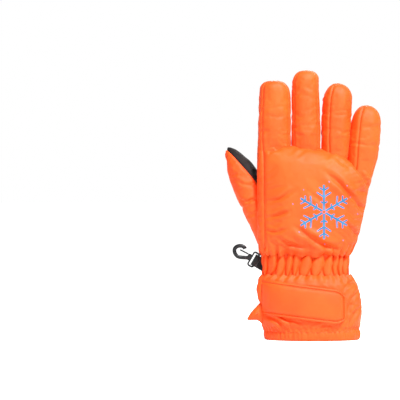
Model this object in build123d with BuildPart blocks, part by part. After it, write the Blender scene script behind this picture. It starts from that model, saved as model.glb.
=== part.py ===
from build123d import *

import os
from math import atan2, cos, degrees, radians, sin, tan

# Insulated ski glove for a child's right hand, as its sewn panels, linings and fittings.
# It stands on its hem: +Z is towards the fingertips, the back of the hand faces -Y and the
# thumb is at -X. Millimetres. Shapes are laid out from the middle of the hem, and every piece
# is moved at the end so that the origin is under the middle of the glove's bounding box.

# ---------------- driving dimensions ----------------
shell = 1.2          # outer fabric with its foam backing
layer_gap = 0.4      # room between the outer fabric and the insulated lining
lining = 3.0         # insulated lining
body_gap = 0.35      # room between pieces that move against each other
side_half = 6.0      # half the width of the side strips between back and palm panels

hem_height = 8.5
cuff_top = 53.0
wrist_top = 78.0
hand_bottom = 74.0
hand_top = 172.0

# Cross-sections: (height, middle, half width, half depth) of flattened tubes.
cuff_sections = [(hem_height, 0.0, 41.0, 24.0), (30.0, -1.0, 42.6, 24.5), (cuff_top, -4.5, 40.4, 22.0)]
wrist_sections = [(cuff_top, -4.8, 38.6, 19.5), (64.0, -5.2, 36.8, 17.0), (wrist_top, -5.2, 37.0, 17.3)]
hand_sections = [
    (hand_bottom, -5.0, 39.6, 21.0),
    (96.0, -3.0, 43.0, 22.0),
    (122.0, 0.2, 45.8, 21.5),
    (146.0, 4.6, 50.2, 20.0),
    (hand_top, 6.4, 52.4, 17.5),
]

# Knuckle line: (from x, to x, height at from x, height at to x), one stretch per finger.
knuckles = {
    "index": (-90.0, -17.6, 165.0, 165.0),
    "middle": (-17.6, 8.0, 165.0, 165.0),
    "ring": (8.0, 30.2, 163.0, 162.0),
    "little": (30.2, 70.0, 154.2, 152.4),
}
# Fingers: (middle at the knuckle, middle at the tip, tip height, half width low, half width high).
fingers = {
    "index": (-32.6, -32.4, 220.5, 13.0, 12.7),
    "middle": (-4.9, -5.0, 229.5, 11.5, 11.5),
    "ring": (20.4, 23.0, 218.5, 10.2, 11.2),
    "little": (45.2, 47.6, 199.5, 11.5, 10.8),
}
finger_half_depth = 11.6
finger_start = 146.0
# Share of the full radius at each share of the length, from root to rounded tip.
finger_profile = [(0.0, 1.0), (0.14, 1.0), (0.28, 1.0), (0.42, 1.0), (0.60, 0.995), (0.78, 0.965),
                  (0.93, 0.76), (1.0, 0.34)]

thumb_root = Vector(-41.0, 5.0, 90.0)
thumb_tip = Vector(-65.0, 13.5, 163.5)
thumb_half_width = 12.8
thumb_half_depth = 11.6
thumb_joint_share = 0.44
thumb_profile = [(-0.12, 0.50), (0.12, 0.86), (0.44, 1.0), (0.76, 1.0), (0.93, 0.80), (1.0, 0.42)]

strap_thickness = 3.0
tape = 1.0                     # hook tape and loop tape
strap_root = -41.5
strap_end = 27.5
strap_root_heights = (22.5, 51.5)
strap_end_heights = (14.5, 41.5)

hook_angle = 30.0              # of the snap hook above the horizontal
hook_bar = Vector(-47.4, -1.0, 67.0)
bar_radius = 0.9
eye_half_width = 7.0
hook_rod = 1.65
webbing_half_width = 5.0
webbing = 1.0                  # thickness of one layer


# ---------------- forms that several pieces are cut from ----------------
def tube_form(sections, inset):
    """Solid flattened tube through its cross-sections, every radius smaller by inset."""
    with BuildPart() as form:
        for height, middle, half_width, half_depth in sections:
            with BuildSketch(Plane.XY.offset(height)):
                with Locations((middle, 0)):
                    Ellipse(half_width - inset, half_depth - inset)
        loft()
    return form.part


def stall_form(start, tip, low_width, high_width, half_depth, profile, inset):
    """Solid finger with a rounded tip, from start to tip, every radius smaller by inset."""
    axis = tip - start
    length = axis.length - inset
    with BuildPart() as form:
        for share, size in profile:
            half_width = low_width + (high_width - low_width) * max(share, 0.0)
            centre = start + axis.normalized() * (length * share)
            with BuildSketch(Plane(origin=centre, x_dir=(1, 0, 0), z_dir=axis)):
                Ellipse((half_width - inset) * size, (half_depth - inset) * size)
        loft()
    return form.part


def finger_form(name, inset):
    low_middle, tip_middle, tip_height, low_width, high_width = fingers[name]
    start = Vector(low_middle, 0, finger_start)
    tip = Vector(tip_middle, 0, tip_height)
    return stall_form(start, tip, low_width, high_width, finger_half_depth, finger_profile, inset)


def thumb_form(inset):
    return stall_form(thumb_root, thumb_tip, thumb_half_width, thumb_half_width,
                      thumb_half_depth, thumb_profile, inset)


def prism(outline):
    """Everything in front of and behind a closed outline of (x, z) points."""
    with BuildPart() as block:
        with BuildSketch(Plane.XZ):
            with BuildLine():
                Polyline(*outline, close=True)
            make_face()
        extrude(amount=90, both=True)
    return block.part


def slab(low, high):
    """Everything between two depths."""
    with BuildPart() as block:
        with BuildSketch(Plane.XZ.offset(-high)):
            with Locations((0, 120)):
                Rectangle(300, 400)
        extrude(amount=high - low)
    return block.part


def above_knuckle(name):
    """Everything above one finger's stretch of the knuckle line."""
    left, right, left_height, right_height = knuckles[name]
    margin = 60.0
    slope = (right_height - left_height) / (right - left)
    return prism([
        (left - margin, left_height + body_gap - slope * margin),
        (right + margin, right_height + body_gap + slope * margin),
        (right + margin, 260.0),
        (left - margin, 260.0),
    ])


def below_knuckles(drop):
    """Everything under the whole stepped knuckle line, pulled down and in by drop."""
    index_left, index_right, index_height, _ = knuckles["index"]
    outline = [(index_left, 0.0), (index_left, index_height - drop)]
    for name in ("middle", "ring", "little"):
        left, right, left_height, right_height = knuckles[name]
        if name != "middle":
            outline.append((left - drop, left_height - drop))
        outline.append((right - drop, right_height - drop))
    outline.append((knuckles["little"][1] - drop, 0.0))
    return prism(outline)


thumb_axis = (thumb_tip - thumb_root).normalized()
thumb_joint = thumb_root + (thumb_tip - thumb_root) * thumb_joint_share


def thumb_side(above, gap):
    """Half space above or below the plane between hand and thumb, pulled back by gap."""
    facing = thumb_axis if above else thumb_axis * -1
    with BuildPart() as block:
        with BuildSketch(Plane(origin=thumb_joint + facing * gap, x_dir=(0, 1, 0), z_dir=facing)):
            Rectangle(90, 90)
        extrude(amount=120)
    return block.part


def joined(*parts):
    with BuildPart() as whole:
        for part in parts:
            add(part)
    return whole.part


def cut(base, keep=(), remove=()):
    """The part of base inside every keep form and outside every remove form."""
    with BuildPart() as result:
        add(base)
        for form in keep:
            add(form, mode=Mode.INTERSECT)
        for form in remove:
            add(form, mode=Mode.SUBTRACT)
    return result.part


def hand_form(inset):
    """The hand with the root of the thumb, closed at the knuckles and hollowed beside the thumb."""
    thumb_room = cut(thumb_form(-2 * body_gap - inset), keep=[thumb_side(True, -inset)])
    palm = cut(tube_form(hand_sections, inset), keep=[below_knuckles(inset)], remove=[thumb_room])
    root = cut(thumb_form(inset), keep=[thumb_side(False, inset)])
    return joined(palm, root)


pieces = {}


# ---------------- fingers ----------------
front = slab(-60.0, -side_half)
middle = slab(-side_half, side_half)
back = slab(side_half, 60.0)
lining_inset = shell + layer_gap
inside = lining_inset + lining

for name in fingers:
    keep = [above_knuckle(name)]
    skin = cut(finger_form(name, 0), keep=keep, remove=[finger_form(name, shell)])
    pieces[f"{name}_back_panel"] = cut(skin, keep=[front])
    pieces[f"{name}_side_strip"] = cut(skin, keep=[middle])
    pieces[f"{name}_palm_panel"] = cut(skin, keep=[back])
    pieces[f"{name}_lining"] = cut(
        finger_form(name, lining_inset), keep=keep, remove=[finger_form(name, inside)])


# ---------------- thumb ----------------
def thumb_panel_side(outer):
    """Half space on one side of the thumb's seams, which face the back and the index finger."""
    facing = Vector(-0.72, -0.69, 0.0)
    facing = (facing - thumb_axis * facing.dot(thumb_axis)).normalized()
    if not outer:
        facing = facing * -1
    with BuildPart() as block:
        with BuildSketch(Plane(origin=thumb_joint, x_dir=thumb_axis, z_dir=facing)):
            Rectangle(200, 200)
        extrude(amount=80)
    return block.part


thumb_keep = [thumb_side(True, body_gap)]
thumb_skin = cut(thumb_form(0), keep=thumb_keep, remove=[thumb_form(shell)])
pieces["thumb_outer_panel"] = cut(thumb_skin, keep=[thumb_panel_side(True)])
pieces["thumb_inner_panel"] = cut(thumb_skin, keep=[thumb_panel_side(False)])
pieces["thumb_lining"] = cut(thumb_form(lining_inset), keep=thumb_keep, remove=[thumb_form(inside)])


# ---------------- hand ----------------
passages = [finger_form(name, inside) for name in fingers] + [thumb_form(inside)]
hand_shell = cut(hand_form(0), remove=[hand_form(shell)] + passages)
pieces["knuckle_web"] = cut(hand_shell, remove=[below_knuckles(shell)])
hand_skin = cut(hand_shell, keep=[below_knuckles(shell)])
lining_bottom = 86.0
hand_padding = cut(hand_form(lining_inset), remove=[hand_form(inside)] + passages)
pieces["hand_lining"] = cut(
    hand_padding,
    keep=[prism([(-90.0, lining_bottom), (90.0, lining_bottom), (90.0, 190.0), (-90.0, 190.0)])],
)

patch_corners = [(-62.0, 146.0), (-37.0, 157.5), (6.0, 157.5), (48.0, 146.0), (38.4, 60.0), (8.0, 60.0)]
patch = prism(patch_corners)
thumb_quarter = prism([(-90.0, 60.0), patch_corners[-1], patch_corners[0], (-90.0, 146.0)])
upper_band = prism([(-90.0, 146.0)] + patch_corners[:4] + [(90.0, 146.0), (90.0, 190.0), (-90.0, 190.0)])
pieces["hand_back_panel"] = cut(hand_skin, keep=[front])
pieces["palm_patch"] = cut(hand_skin, keep=[back, patch])
pieces["thumb_base_panel"] = cut(hand_skin, keep=[back, thumb_quarter])
pieces["palm_upper_panel"] = cut(hand_skin, keep=[back, upper_band])
index_half = prism([(-90.0, 60.0), (8.0, 60.0), (8.0, 190.0), (-90.0, 190.0)])
pieces["index_edge_panel"] = cut(hand_skin, keep=[middle, index_half])
beside_patch = cut(hand_skin, keep=[back], remove=[patch, thumb_quarter, upper_band])
pieces["little_edge_panel"] = joined(cut(hand_skin, keep=[middle], remove=[index_half]), beside_patch)


# ---------------- cuff ----------------
def ring(sections, outer, inner):
    return cut(tube_form(sections, outer), remove=[tube_form(sections, inner)])


cuff_skin = ring(cuff_sections, 0, shell)
pieces["cuff_back_panel"] = cut(cuff_skin, keep=[slab(-60.0, 0.0)])
pieces["cuff_palm_panel"] = cut(cuff_skin, keep=[slab(0.0, 60.0)])
pieces["cuff_lining"] = ring(cuff_sections, lining_inset, inside)
pieces["wrist_band"] = ring(wrist_sections, 0, shell)
pieces["wrist_elastic"] = ring(wrist_sections, lining_inset, lining_inset + 1.4)

with BuildPart() as hem_band:
    hem_bulge = 1.5
    with BuildSketch():
        Ellipse(41.0 + hem_bulge, 24.0 + hem_bulge)
        Ellipse(41.0 - inside, 24.0 - inside, mode=Mode.SUBTRACT)
    extrude(amount=hem_height)
    fillet(hem_band.edges().filter_by(GeomType.ELLIPSE), 1.6)
pieces["hem_band"] = hem_band.part

with BuildPart() as gusset_fold:
    with BuildSketch(Plane.XZ.offset(-1.0)):
        with BuildLine():
            Polyline((-42.2, 31.0), (-46.5, 31.0), (-54.0, 22.0), (-50.0, 16.5), (-41.0, 15.0), close=True)
        make_face()
    extrude(amount=3.2)
    fillet(gusset_fold.edges().filter_by(Axis.Y).sort_by(Axis.X)[:3], 1.6)
pieces["gusset_fold"] = cut(gusset_fold.part, remove=[tube_form(cuff_sections, 0)])


# ---------------- strap ----------------
def strap_outline(margin, start=strap_root, end=strap_end):
    """Strap seen from the front, pulled in by margin: square at the root, round at the free end."""
    slope = (strap_end_heights[1] - strap_root_heights[1]) / (strap_end - strap_root)
    tilt = Plane(origin=(strap_root, 0, strap_root_heights[0]), x_dir=(1, 0, slope), z_dir=(0, -1, 0))
    width = strap_root_heights[1] - strap_root_heights[0]
    with BuildPart() as block:
        with BuildSketch(tilt):
            reach = (strap_end - strap_root) / cos(atan2(-slope, 1))
            near = (start - strap_root) + margin
            with Locations(((near + reach - margin) / 2, width / 2)):
                outline = Rectangle(reach - margin - near, width - 2 * margin)
            fillet(outline.vertices().group_by(Axis.X)[-1], 9.0 - margin)
        extrude(amount=90)
    return block.part


strap_inset = -(2 * tape + 2 * body_gap)
strap_front = slab(-60.0, -1.0)
strap_skin = ring(cuff_sections, strap_inset - strap_thickness, strap_inset)
pieces["strap"] = cut(strap_skin, keep=[strap_front, strap_outline(0)])
hook_tape_skin = ring(cuff_sections, strap_inset, strap_inset + tape)
pieces["strap_hook_tape"] = cut(hook_tape_skin, keep=[strap_front, strap_outline(3.0, start=-4.0)])
loop_tape_skin = ring(cuff_sections, -tape, 0)
pieces["cuff_loop_tape"] = cut(loop_tape_skin, keep=[strap_front, strap_outline(3.5, start=-18.0)])

# ---------------- webbing tab and snap hook ----------------
hook_out = Vector(-cos(radians(hook_angle)), 0, sin(radians(hook_angle)))
hook_across = Vector(sin(radians(hook_angle)), 0, cos(radians(hook_angle)))
hook_plane = Plane(origin=hook_bar, x_dir=hook_out, z_dir=(0, 1, 0))
bar_plane = Plane(origin=hook_bar, x_dir=hook_out, z_dir=hook_across)
loop_inner = 1.7
tab_length = 9.0

with BuildPart() as webbing_tab:
    with BuildSketch(bar_plane):
        Circle(loop_inner + webbing)
        with Locations((-tab_length / 2, 0)):
            Rectangle(tab_length, 2 * webbing)
        Circle(loop_inner, mode=Mode.SUBTRACT)
    extrude(amount=webbing_half_width, both=True)
pieces["webbing_tab"] = cut(webbing_tab.part, remove=[tube_form(wrist_sections, 0)])

eye_length = 6.4
eye_bar = 2 * bar_radius
neck_start = eye_length - 2.2
neck_end = 8.4
with BuildPart() as snap_hook:
    with BuildSketch(hook_plane):
        with Locations((eye_length / 2 - bar_radius, 0)):
            RectangleRounded(eye_length, 2 * eye_half_width, 2.2)
        with Locations(((bar_radius + neck_start) / 2, 0)):
            RectangleRounded(neck_start - bar_radius, 2 * (eye_half_width - 1.5), 0.6, mode=Mode.SUBTRACT)
    extrude(amount=bar_radius, both=True)
    with BuildSketch(hook_plane):
        with Locations(((neck_start + neck_end) / 2, 0)):
            RectangleRounded(neck_end - neck_start, 5.6, 1.2)
    extrude(amount=2.0, both=True)
    with BuildLine(hook_plane) as bow:
        Spline((neck_end - 1.4, -1.0), (11.5, -3.2), (16.3, -4.4), (20.9, 0.2), (17.2, 4.9), (13.2, 4.3))
    with BuildSketch(Plane(origin=bow.line @ 0, z_dir=bow.line % 0)):
        Circle(hook_rod)
    sweep()
pieces["snap_hook"] = snap_hook.part

gate_root = neck_end + 0.3
gate_reach = 16.4
gate_half_thickness = 0.6
with BuildPart() as hook_gate:
    with BuildSketch(hook_plane):
        with BuildLine():
            Polyline(
                (gate_root, 1.3),
                (gate_reach, 0.9),
                (gate_reach, 0.9 + 2 * gate_half_thickness),
                (gate_root, 1.3 + 2 * gate_half_thickness),
                close=True)
        make_face()
    extrude(amount=1.2, both=True)
pieces["hook_gate"] = hook_gate.part

# ---------------- origin and files ----------------
glove_box = pieces["hem_band"].bounding_box()
for piece in pieces.values():
    glove_box = glove_box.add(piece.bounding_box())
to_origin = Location((-glove_box.center().X, -glove_box.center().Y, -glove_box.min.Z))
os.makedirs("parts", exist_ok=True)
for name, piece in pieces.items():
    placed = piece.moved(to_origin)
    placed.label = name
    print(f"{name:22s} {piece.volume:10.1f} mm3  solids {len(piece.solids())}")
    export_step(placed, f"parts/{name}.step")
print("moved by", to_origin.position, "box", glove_box.size)
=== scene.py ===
from math import acos, cos, pi, sin

import bmesh
import bpy
import numpy as np
from mathutils import Matrix, Vector, noise
from mathutils.bvhtree import BVHTree


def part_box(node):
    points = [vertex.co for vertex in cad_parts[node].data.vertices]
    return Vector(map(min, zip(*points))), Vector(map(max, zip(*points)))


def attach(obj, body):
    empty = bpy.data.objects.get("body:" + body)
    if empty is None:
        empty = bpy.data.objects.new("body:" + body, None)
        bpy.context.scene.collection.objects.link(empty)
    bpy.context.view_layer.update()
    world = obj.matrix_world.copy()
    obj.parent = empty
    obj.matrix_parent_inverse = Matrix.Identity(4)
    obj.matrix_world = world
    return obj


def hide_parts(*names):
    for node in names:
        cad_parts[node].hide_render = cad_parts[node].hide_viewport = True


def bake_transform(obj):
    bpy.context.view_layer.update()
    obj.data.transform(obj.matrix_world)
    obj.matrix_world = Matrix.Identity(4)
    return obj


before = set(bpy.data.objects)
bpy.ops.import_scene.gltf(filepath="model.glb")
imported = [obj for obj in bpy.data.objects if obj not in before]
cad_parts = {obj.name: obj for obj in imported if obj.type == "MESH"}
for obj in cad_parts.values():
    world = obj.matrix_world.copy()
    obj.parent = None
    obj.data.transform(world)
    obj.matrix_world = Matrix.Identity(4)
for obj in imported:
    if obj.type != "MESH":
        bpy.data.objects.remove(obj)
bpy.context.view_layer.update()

# Right-hand ski glove standing on its hem. Shapes are laid out in millimetres from the middle
# of the hem: x towards the little finger, y towards the palm, z towards the fingertips.

MM = 0.001
hem_low, hem_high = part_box("hem_band")
HEM = np.array([(hem_low[0] + hem_high[0]) / 2, (hem_low[1] + hem_high[1]) / 2, 0.0])


def place(points):
    """Millimetres from the middle of the hem to metres in the frame."""
    return np.asarray(points, float) * MM + HEM


def layout(points):
    """Metres in the frame to millimetres from the middle of the hem."""
    return (np.asarray(points, float) - HEM) / MM


# ---------------- layout (mm) ----------------
FINGER_FRONT, FINGER_PALM = 12.8, 12.2     # half thicknesses of a finger
BACK_SEAM = [(-40.5, 78), (-41.3, 166)]    # between the back panel and the index side, in x and z
WRIST_LOW, WRIST_TOP = 50.0, 82.0
WRIST_JOINT = (0, 0, 67)
HAND_LOW, HAND_TOP = 72.5, 165.0
PLEATS = 27                  # puckers round the wrist

# How square each section is: 2 is an ellipse, more is squarer.
FINGER_SQUARE, HAND_SQUARE, THUMB_SQUARE, CUFF_SQUARE = 2.35, 2.5, 2.2, 2.15

# Fingers: heights, left and right edges at those heights, tip height, how far down the tip is
# rounded on its left and on its right, and how square that rounding is.
FINGERS = {
    "index": ([126, 150, 165, 190, 207, 221], [-43, -45.3, -45.5, -44.9, -44.2, -43.4],
              [-20, -18.2, -17.8, -17.8, -18.2, -18.6], 220.8, (8, 16), 2.6),
    "middle": ([126, 165, 190, 215, 230], [-15, -16.8, -16.6, -16.2, -16.0], [4, 7.9, 7.2, 6.0, 5.8],
               229.6, (14, 9), 2.5),
    "ring": ([122, 160, 191, 206, 219], [9, 8.6, 9.3, 10.2, 10.8], [24, 31.8, 33.8, 34.2, 34.0],
             218.9, (18, 14), 2.1),
    "little": ([116, 128, 140, 153, 171, 185, 200], [29, 29.2, 29.8, 31.0, 32.8, 34.4, 35.6],
               [40, 46.6, 52.2, 56.0, 58.4, 58.8, 58.6], 200.0, (17, 15), 2.1),
}
# Middles of the joints (x, z) where the fingers bend.
KNUCKLES = {
    "index": (-32.5, 165.0),
    "middle": (-4.9, 165.0),
    "ring": (20.9, 162.5),
    "little": (45.5, 153.4),
}
# Height of the knuckle line across the hand.
KNUCKLE_X = [-60, -46, -33, -20, -4, 7, 20, 30, 45, 55, 65]
KNUCKLE_Z = [164, 165, 166.5, 165.5, 165, 163.6, 160, 154, 146, 138.5, 134]


# ---------------- mesh helpers ----------------
def grid_mesh(name, points, cap=None):
    """Mesh of closed rings: points is rows x columns x 3 in millimetres, cap an optional last point."""
    rows, cols, _ = points.shape
    row = np.arange(rows - 1)[:, None] * cols
    col = np.arange(cols)[None, :]
    following = (col + 1) % cols
    quads = np.stack([row + col, row + following, row + cols + following, row + cols + col], -1)
    faces = [tuple(int(i) for i in quad) for quad in quads.reshape(-1, 4)]
    flat = place(points.reshape(-1, 3))
    if cap is not None:
        flat = np.vstack([flat, place([cap])])
        last = (rows - 1) * cols
        faces += [(last + c, last + (c + 1) % cols, rows * cols) for c in range(cols)]
    return new_piece(name, flat, faces)


def new_object(name, data):
    made = bpy.data.objects.new(name, data)
    bpy.context.scene.collection.objects.link(made)
    return made


def new_piece(name, verts, faces):
    mesh = bpy.data.meshes.new(name)
    mesh.from_pydata([tuple(v) for v in verts], [], faces)
    mesh.update()
    mesh.shade_smooth()
    return new_object(name, mesh)


def read(piece):
    """Vertices of a piece, in millimetres from the middle of the hem."""
    flat = np.empty(len(piece.data.vertices) * 3)
    piece.data.vertices.foreach_get("co", flat)
    return layout(flat.reshape(-1, 3))


def write(piece, points):
    piece.data.vertices.foreach_set("co", place(points).ravel())
    piece.data.update()


def normals(piece):
    flat = np.empty(len(piece.data.vertices) * 3)
    piece.data.vertices.foreach_get("normal", flat)
    return flat.reshape(-1, 3)


def push(piece, amount):
    """Moves every vertex along its normal, by an amount in millimetres each."""
    write(piece, read(piece) + normals(piece) * np.asarray(amount)[:, None])


def apply_modifier(piece, kind, **settings):
    modifier = piece.modifiers.new(kind.lower(), kind)
    for key, value in settings.items():
        setattr(modifier, key, value)
    graph = bpy.context.evaluated_depsgraph_get()
    mesh = bpy.data.meshes.new_from_object(piece.evaluated_get(graph))
    piece.modifiers.clear()
    piece.data = mesh
    return piece


def subdivide(piece, levels=1):
    return apply_modifier(piece, "SUBSURF", levels=levels, render_levels=levels)


def ring_noise(angle, size, level):
    """Soft noise round a ring: size says how many waves go round it, level picks the noise."""
    return np.array([noise.noise(Vector((size * cos(a), size * sin(a), level))) for a in angle])


def smooth_noise(points, size, seed):
    """Soft noise from -1 to 1 at each point, with features of about that size in millimetres."""
    shift = Vector((seed * 7.31, seed * 3.17, seed * 5.77))
    return np.array([noise.noise(Vector(p) / size + shift) for p in points])


def round_angles(count):
    return np.linspace(0, 2 * pi, count, endpoint=False)


def superellipse(angle, power):
    c, s = np.cos(angle), np.sin(angle)
    return np.sign(c) * np.abs(c) ** (2 / power), np.sign(s) * np.abs(s) ** (2 / power)


def section(z, heights, lefts, rights, depths):
    """Middle, half width and half thickness at a height, read from a table of sections."""
    left, right = np.interp(z, heights, lefts), np.interp(z, heights, rights)
    return (left + right) / 2, (right - left) / 2, np.interp(z, heights, depths)


def bell(distance, width):
    return np.exp(-(distance / width) ** 2)


def groove(distance, depth=0.9, width=0.9, puff=0.45, reach=3.4):
    """Sewn seam: a narrow valley with the cloth puffed up on both sides of it."""
    return puff * bell(np.abs(distance) - reach, reach * 0.7) - depth * bell(distance, width)


def line_distance(x, z, path):
    """Distance in the x, z plane to an open line, and the share of the way along it."""
    best = np.full(len(x), 1e9)
    where = np.zeros(len(x))
    spans = [np.hypot(b[0] - a[0], b[1] - a[1]) for a, b in zip(path, path[1:])]
    total, done = sum(spans), 0.0
    for (ax, az), (bx, bz), span in zip(path, path[1:], spans):
        t = np.clip(((x - ax) * (bx - ax) + (z - az) * (bz - az)) / span ** 2, 0, 1)
        distance = np.hypot(x - ax - t * (bx - ax), z - az - t * (bz - az))
        closer = distance < best
        best[closer] = distance[closer]
        where[closer] = ((done + t * span) / total)[closer]
        done += span
    return best, where


def curve_points(controls, count=24):
    """Points along a smooth curve through the controls (Catmull-Rom)."""
    pts = [np.array(p, float) for p in controls]
    pts = [2 * pts[0] - pts[1]] + pts + [2 * pts[-1] - pts[-2]]
    out = []
    for i in range(1, len(pts) - 2):
        for t in np.linspace(0, 1, count, endpoint=False):
            a, b, c, d = pts[i - 1], pts[i], pts[i + 1], pts[i + 2]
            out.append(0.5 * ((2 * b) + (c - a) * t + (2 * a - 5 * b + 4 * c - d) * t ** 2
                              + (3 * b - a - 3 * c + d) * t ** 3))
    return out + [pts[-2]]


# ---------------- cloth ----------------
CLOTH_SCALE = 10.0           # the solver works best on pieces a metre or two long


def puff_up(piece, pinned, slack=0.05, pressure=3.0, frames=16, cap=3.0, bending=0.4):
    """Cloth between pinned seams: a little longer than its place, and blown up from inside."""
    rest = read(piece)
    model = piece.copy()
    model.data = piece.data.copy()
    bpy.context.scene.collection.objects.link(model)
    model.data.transform(Matrix.Scale(CLOTH_SCALE, 4))
    group = model.vertex_groups.new(name="pinned")
    group.add([int(i) for i in np.nonzero(pinned)[0]], 1.0, "REPLACE")
    cloth = model.modifiers.new("cloth", "CLOTH")
    settings = cloth.settings
    settings.quality = 6
    settings.mass = 0.15
    settings.tension_stiffness = 12
    settings.compression_stiffness = 12
    settings.shear_stiffness = 3
    settings.bending_stiffness = bending
    settings.air_damping = 2.0
    settings.vertex_group_mass = "pinned"
    settings.use_pressure = True
    settings.uniform_pressure_force = pressure
    settings.shrink_min = -slack
    settings.effector_weights.gravity = 0.0
    cloth.collision_settings.use_collision = False
    cloth.point_cache.frame_start = 1
    cloth.point_cache.frame_end = frames
    for step in range(1, frames + 1):
        bpy.context.scene.frame_set(step)
    graph = bpy.context.evaluated_depsgraph_get()
    result = model.evaluated_get(graph).to_mesh()
    flat = np.empty(len(result.vertices) * 3)
    result.vertices.foreach_get("co", flat)
    moved = layout(flat.reshape(-1, 3) / CLOTH_SCALE) - rest
    length = np.linalg.norm(moved, axis=1)
    moved *= (np.minimum(length, cap) / np.maximum(length, 1e-9))[:, None]
    bpy.data.objects.remove(model)
    bpy.context.scene.frame_set(1)
    write(piece, rest + moved)
    return piece


# ---------------- forms ----------------
def tip_share(distance, rounding, power):
    """Share of the full width at a distance from a rounded tip."""
    past = np.clip(1 - distance / rounding, 0, 1)
    return np.maximum((1 - past ** power) ** (1 / power), 0.03)


def tip_distances(reach, rounding, straight=58, close=22):
    """Distances from the tip for rings from the root to the tip, closer together where it is rounded."""
    along = np.linspace(reach, rounding, straight, endpoint=False)
    return np.concatenate([along, rounding * np.linspace(1, 0.02, close) ** 2.2])


def finger_section(z, name, sides):
    """Middle, half width and tip share at each height, for points on the left (-1) or right (1) side."""
    heights, lefts, rights, tip_z, rounding, power = FINGERS[name]
    left, right = np.interp(z, heights, lefts), np.interp(z, heights, rights)
    near = [tip_share(np.maximum(tip_z - z, 0), r, power) for r in rounding]
    share = np.where(np.asarray(sides) < 0, near[0], near[1])
    return (left + right) / 2, (right - left) / 2 * share, (near[0] + near[1]) / 2


def finger_skin(name):
    """One finger, narrower at its root, where it goes into the hand."""
    heights, tip_z, rounding = FINGERS[name][0], FINGERS[name][3], FINGERS[name][4]
    knuckle = KNUCKLES[name][1]
    angle = round_angles(72)
    cx, sy = superellipse(angle, FINGER_SQUARE)
    rows = []
    for distance in tip_distances(tip_z - heights[0], max(rounding)):
        z = np.full(len(angle), tip_z - distance)
        middle, half, share = finger_section(z, name, cx)
        root = np.interp(z, [heights[0], knuckle - 2, knuckle + 11], [0.68, 0.80, 1.0])
        depth = np.where(sy < 0, FINGER_FRONT, FINGER_PALM) * share ** 0.85 * root
        rows.append(np.stack([middle + half * cx, depth * sy, z], -1))
    tip = rows[-1].mean(0) + np.array([0, 0, 0.05])
    return grid_mesh(f"{name}_skin", np.array(rows), tip)


# Where the two seams run on the back of each finger, as shares of its half width.
FINGER_SEAMS = {
    "index": (-0.80, 0.88),
    "middle": (-0.88, 0.84),
    "ring": (-0.56, 0.93),
    "little": (-0.50, 0.92),
}
PALM_SEAM = 0.86             # the same on the palm side, left and right


def finger_angle(points, name):
    """Angle of each point round its finger, and the finger's radius at that height."""
    middle = finger_section(points[:, 2], name, 1)[0]
    _, half, share = finger_section(points[:, 2], name, points[:, 0] - middle)
    u = (points[:, 0] - middle) / half
    v = points[:, 1] / (FINGER_FRONT * share ** 0.85)
    power = FINGER_SQUARE / 2
    angle = np.arctan2(np.sign(v) * np.abs(v) ** power, np.sign(u) * np.abs(u) ** power)
    return angle, (half + FINGER_FRONT * share) / 2


def section_angle(share, side):
    """Angle round a finger of the place at that share of its half width, on the back or the palm side."""
    c = np.sign(share) * abs(share) ** (FINGER_SQUARE / 2)
    return side * acos(c)


def finger_seam_distance(points, name):
    """Distance from the finger's seams between side strips and back or palm panel."""
    angle, radius = finger_angle(points, name)
    seams = [section_angle(share, -1) for share in FINGER_SEAMS[name]]
    seams += [section_angle(share, 1) for share in (-PALM_SEAM, PALM_SEAM)]
    apart = [np.abs((angle - seam + pi) % (2 * pi) - pi) * radius for seam in seams]
    return np.minimum.reduce(apart)


def finger_detail(points, name):
    """Seams, palm tip seam and the soft creases across a finger, as a push in millimetres."""
    tip_z = FINGERS[name][3]
    angle, _ = finger_angle(points, name)
    z = points[:, 2]
    near_tip = np.clip((tip_z - z) / 6, 0, 1)
    amount = groove(finger_seam_distance(points, name), 1.25, 0.6, 0.32, 2.6) * near_tip
    arch = z - (tip_z - 5.0 - 7.0 * np.abs(np.cos(angle)) ** 3)
    palm = np.clip(points[:, 1] / 4, 0, 1)
    amount += groove(arch, 0.8, 0.8, 0.25, 2.4) * palm
    for height, depth, lean, on_palm in FINGER_CREASES[name]:
        distance = z - height - lean * np.sin(angle * 2) - 1.2 * smooth_noise(points, 9, height)
        facing = palm if on_palm else np.clip(-points[:, 1] / 5, 0, 1)
        amount += groove(distance, depth, 1.5, depth * 0.5, 3.6) * facing
    return amount + 0.30 * smooth_noise(points, 11, 3) + 0.12 * smooth_noise(points, 4.5, 6)


# Soft creases across the fingers: height, depth, lean, and whether on the palm side.
FINGER_CREASES = {
    "index": [(176, 0.35, 1.5, False), (197, 0.30, -1.5, False),
              (181, 0.8, 1.0, True), (202, 0.7, -1.0, True)],
    "middle": [(182, 0.35, -1.2, False), (207, 0.25, 1.5, False),
               (186, 0.8, 1.2, True), (209, 0.7, -1.0, True)],
    "ring": [(178, 0.40, 1.4, False), (194, 0.30, -1.0, False),
             (181, 0.8, 1.0, True), (201, 0.7, -1.0, True)],
    "little": [(166, 0.45, 1.6, False), (180, 0.30, -1.2, False),
               (168, 0.8, 1.0, True), (184, 0.7, -1.0, True)],
}


# Sections of the hand, as if its top were level at HAND_TOP: height, edges and half thicknesses.
HAND_ZN = [72.5, 76, 85, 107, 135, 158, 166]
HAND_LEFT = [-42.5, -44.5, -46.2, -46.4, -46.4, -46.3, -46.0]
HAND_RIGHT = [32.6, 35.4, 38.8, 43.0, 47.4, 51.0, 52.8]
HAND_FRONT = [17.4, 20.0, 21.4, 21.2, 20.0, 18.2, 17.4]
HAND_PALM = [17.0, 19.0, 19.6, 19.4, 18.4, 16.4, 15.4]


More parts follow.
